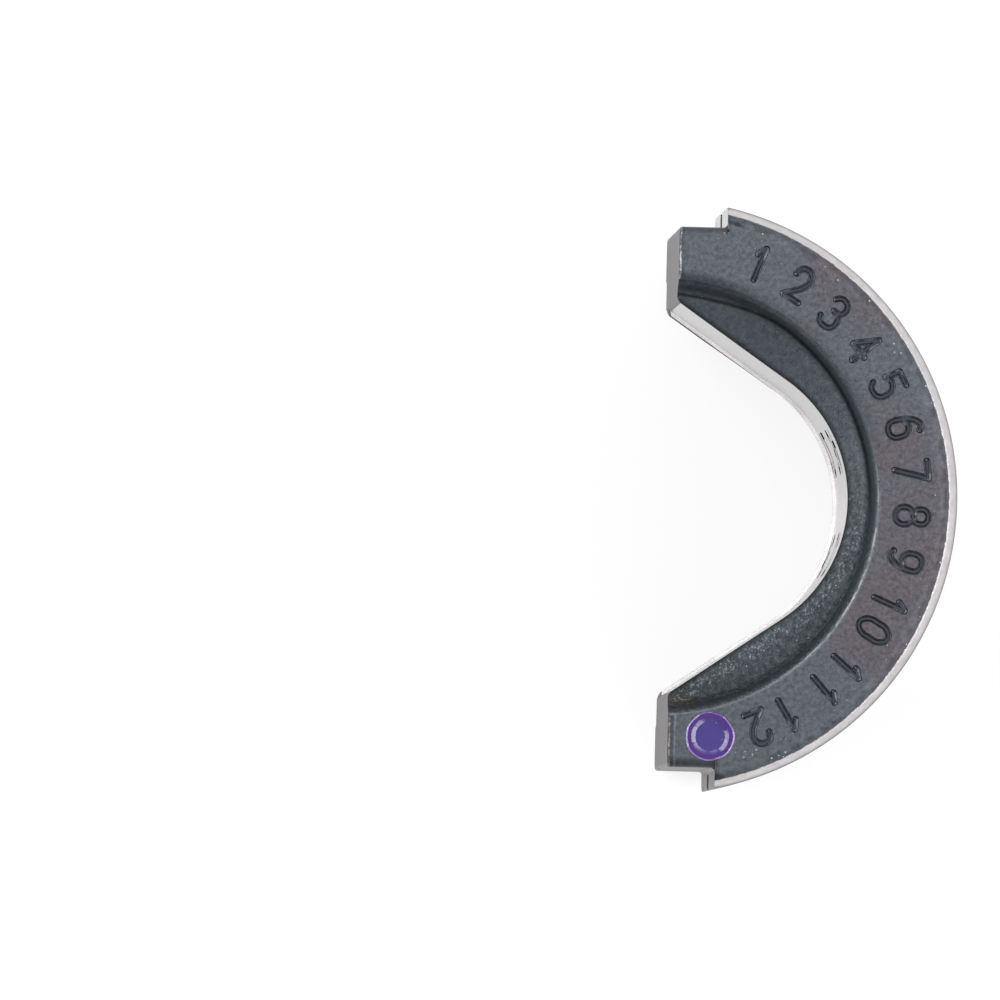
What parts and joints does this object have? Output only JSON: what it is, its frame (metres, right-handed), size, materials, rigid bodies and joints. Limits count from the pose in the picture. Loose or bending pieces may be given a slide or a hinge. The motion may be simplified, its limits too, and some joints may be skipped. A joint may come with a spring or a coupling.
{
  "type": "crimping die half",
  "caption": "Half-round steel crimping die with a wide crimp cavity, flat lands, stepped ledges, a retaining groove round its back and a colour dot on one end.",
  "frame": {"origin": "on the axis of the round nest that the back fits, at the height of the plain end face", "axes": "+Z along the nest axis from the plain end to the marked end, -X out of the open mouth, +X into the round back, Y across the two lands"},
  "size_m": [0.0202, 0.0414, 0.0335],
  "materials": {
    "blackened_steel": "blackened steel, satin, with bright worn edges and a brushed cavity",
    "dot_enamel": "glossy violet enamel"
  },
  "bodies": {
    "root": {"die_body": "blackened_steel", "colour_dot": "dot_enamel"}
  },
  "joints": []
}
